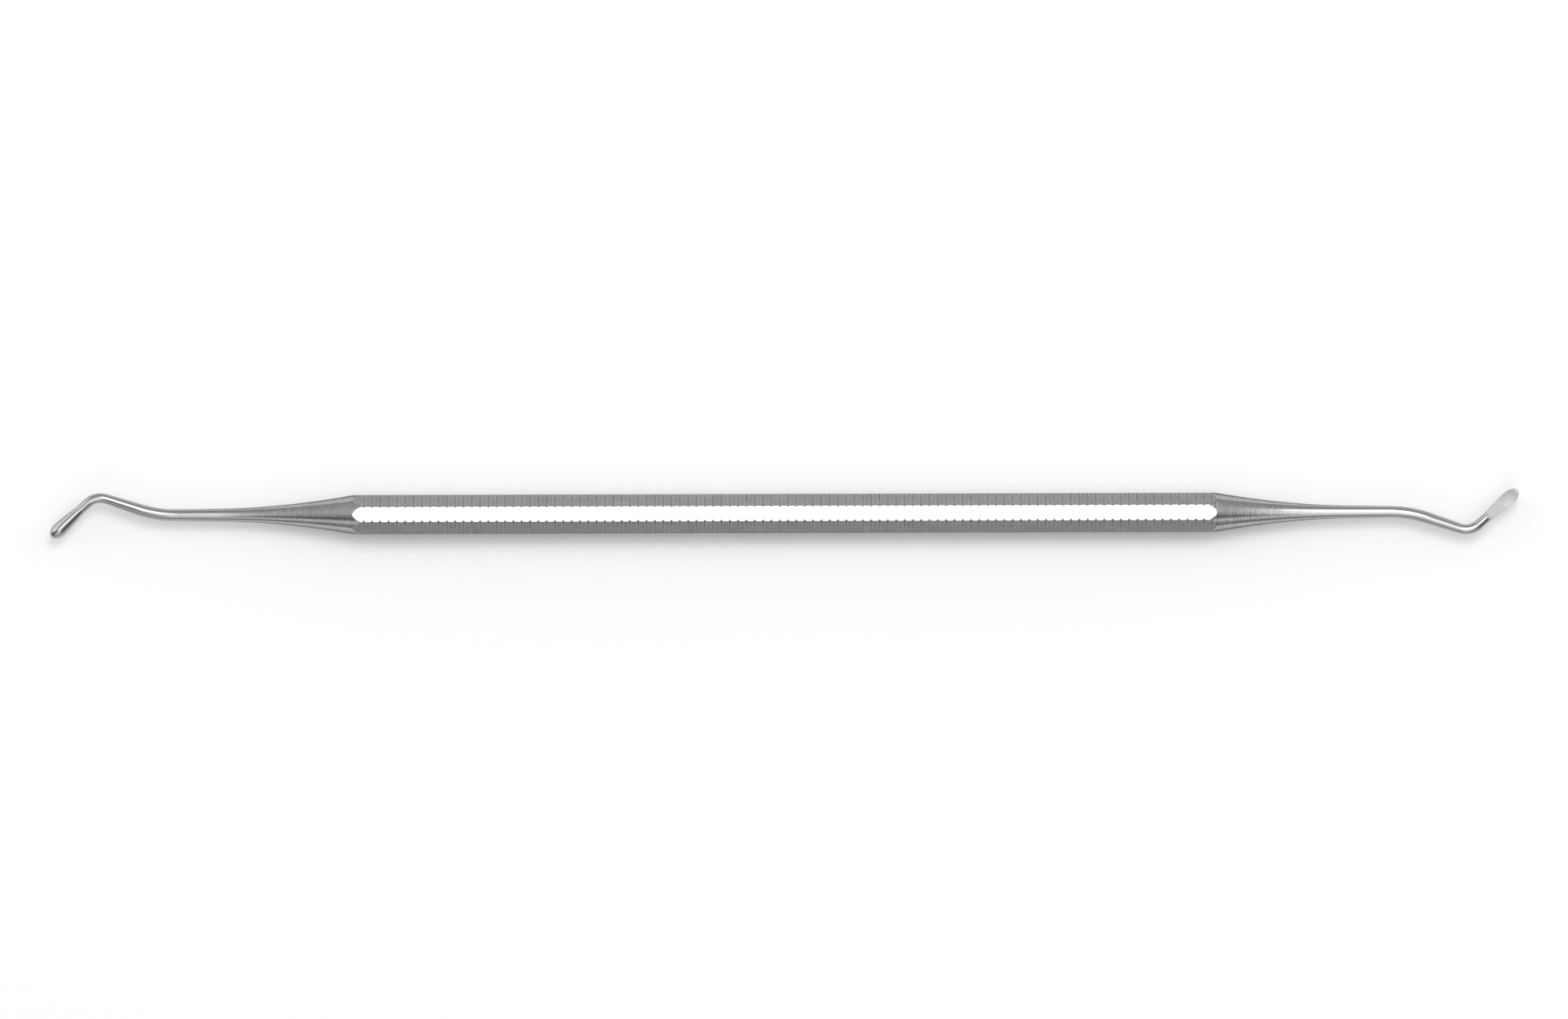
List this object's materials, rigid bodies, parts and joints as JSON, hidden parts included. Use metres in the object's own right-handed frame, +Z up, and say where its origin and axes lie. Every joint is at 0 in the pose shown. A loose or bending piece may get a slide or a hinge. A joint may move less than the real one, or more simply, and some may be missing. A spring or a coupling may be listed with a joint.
{
  "type": "spoon excavator",
  "caption": "Double-ended dental spoon excavator: octagonal serrated steel handle, turned tapers, bent shanks and twin mirrored spoon blades.",
  "frame": {"origin": "middle of the handle's lower flat, on the surface that the instrument lies on", "axes": "+X along the handle towards the blade that shows its ground face, +Z up out of the handle's upper flat, both ends bent in the horizontal plane"},
  "size_m": [0.1698, 0.0053, 0.0045],
  "materials": {
    "steel": "polished shanks and plain flats, satin tapers and serrated flats, finely ground blade faces"
  },
  "bodies": {
    "root": {"spoon_excavator": "steel"}
  },
  "joints": []
}
